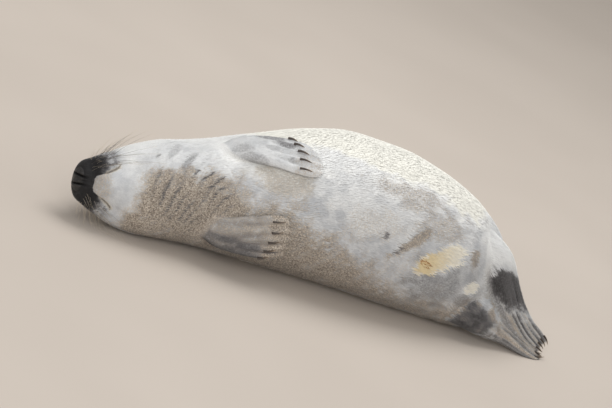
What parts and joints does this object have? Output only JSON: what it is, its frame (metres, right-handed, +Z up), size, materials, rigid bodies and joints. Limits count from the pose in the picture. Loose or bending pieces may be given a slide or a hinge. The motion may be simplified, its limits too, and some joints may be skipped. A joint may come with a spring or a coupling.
{
  "type": "grey seal",
  "caption": "Young grey seal lying asleep on its right side, belly turned to the viewer, head low, flippers folded back, in a silver coat with the last of its cream fur.",
  "frame": {"origin": "on the floor under the middle of the whole animal's box", "axes": "+X from the head to the hind flippers, -Y the side the belly faces, +Z up"},
  "size_m": [1.1008, 0.32, 0.2922],
  "materials": {
    "silver_coat": "short silver-grey seal fur",
    "cream_coat": "pale cream-white seal fur",
    "flipper_coat": "short grey-brown fur over the digits",
    "nose_leather": "dark damp skin",
    "claw_horn": "dark worn horn",
    "eye": "wet dark eye"
  },
  "bodies": {
    "root": {"head": "silver_coat", "lower_jaw": "silver_coat", "nose": "nose_leather", "left_eye": "eye", "right_eye": "eye", "neck": "silver_coat", "chest": "silver_coat", "belly": "cream_coat", "rump": "cream_coat", "left_fore_flipper": "flipper_coat", "right_fore_flipper": "flipper_coat", "left_hind_flipper": "flipper_coat", "right_hind_flipper": "flipper_coat", "tail": "flipper_coat", "left_fore_claw_1": "claw_horn", "left_fore_claw_2": "claw_horn", "left_fore_claw_3": "claw_horn", "left_fore_claw_4": "claw_horn", "left_fore_claw_5": "claw_horn", "left_hind_claw_1": "claw_horn", "left_hind_claw_2": "claw_horn", "left_hind_claw_3": "claw_horn", "left_hind_claw_4": "claw_horn", "left_hind_claw_5": "claw_horn", "right_fore_claw_1": "claw_horn", "right_fore_claw_2": "claw_horn", "right_fore_claw_3": "claw_horn", "right_fore_claw_4": "claw_horn", "right_fore_claw_5": "claw_horn", "right_hind_claw_1": "claw_horn", "right_hind_claw_2": "claw_horn", "right_hind_claw_3": "claw_horn", "right_hind_claw_4": "claw_horn", "right_hind_claw_5": "claw_horn"}
  },
  "joints": []
}
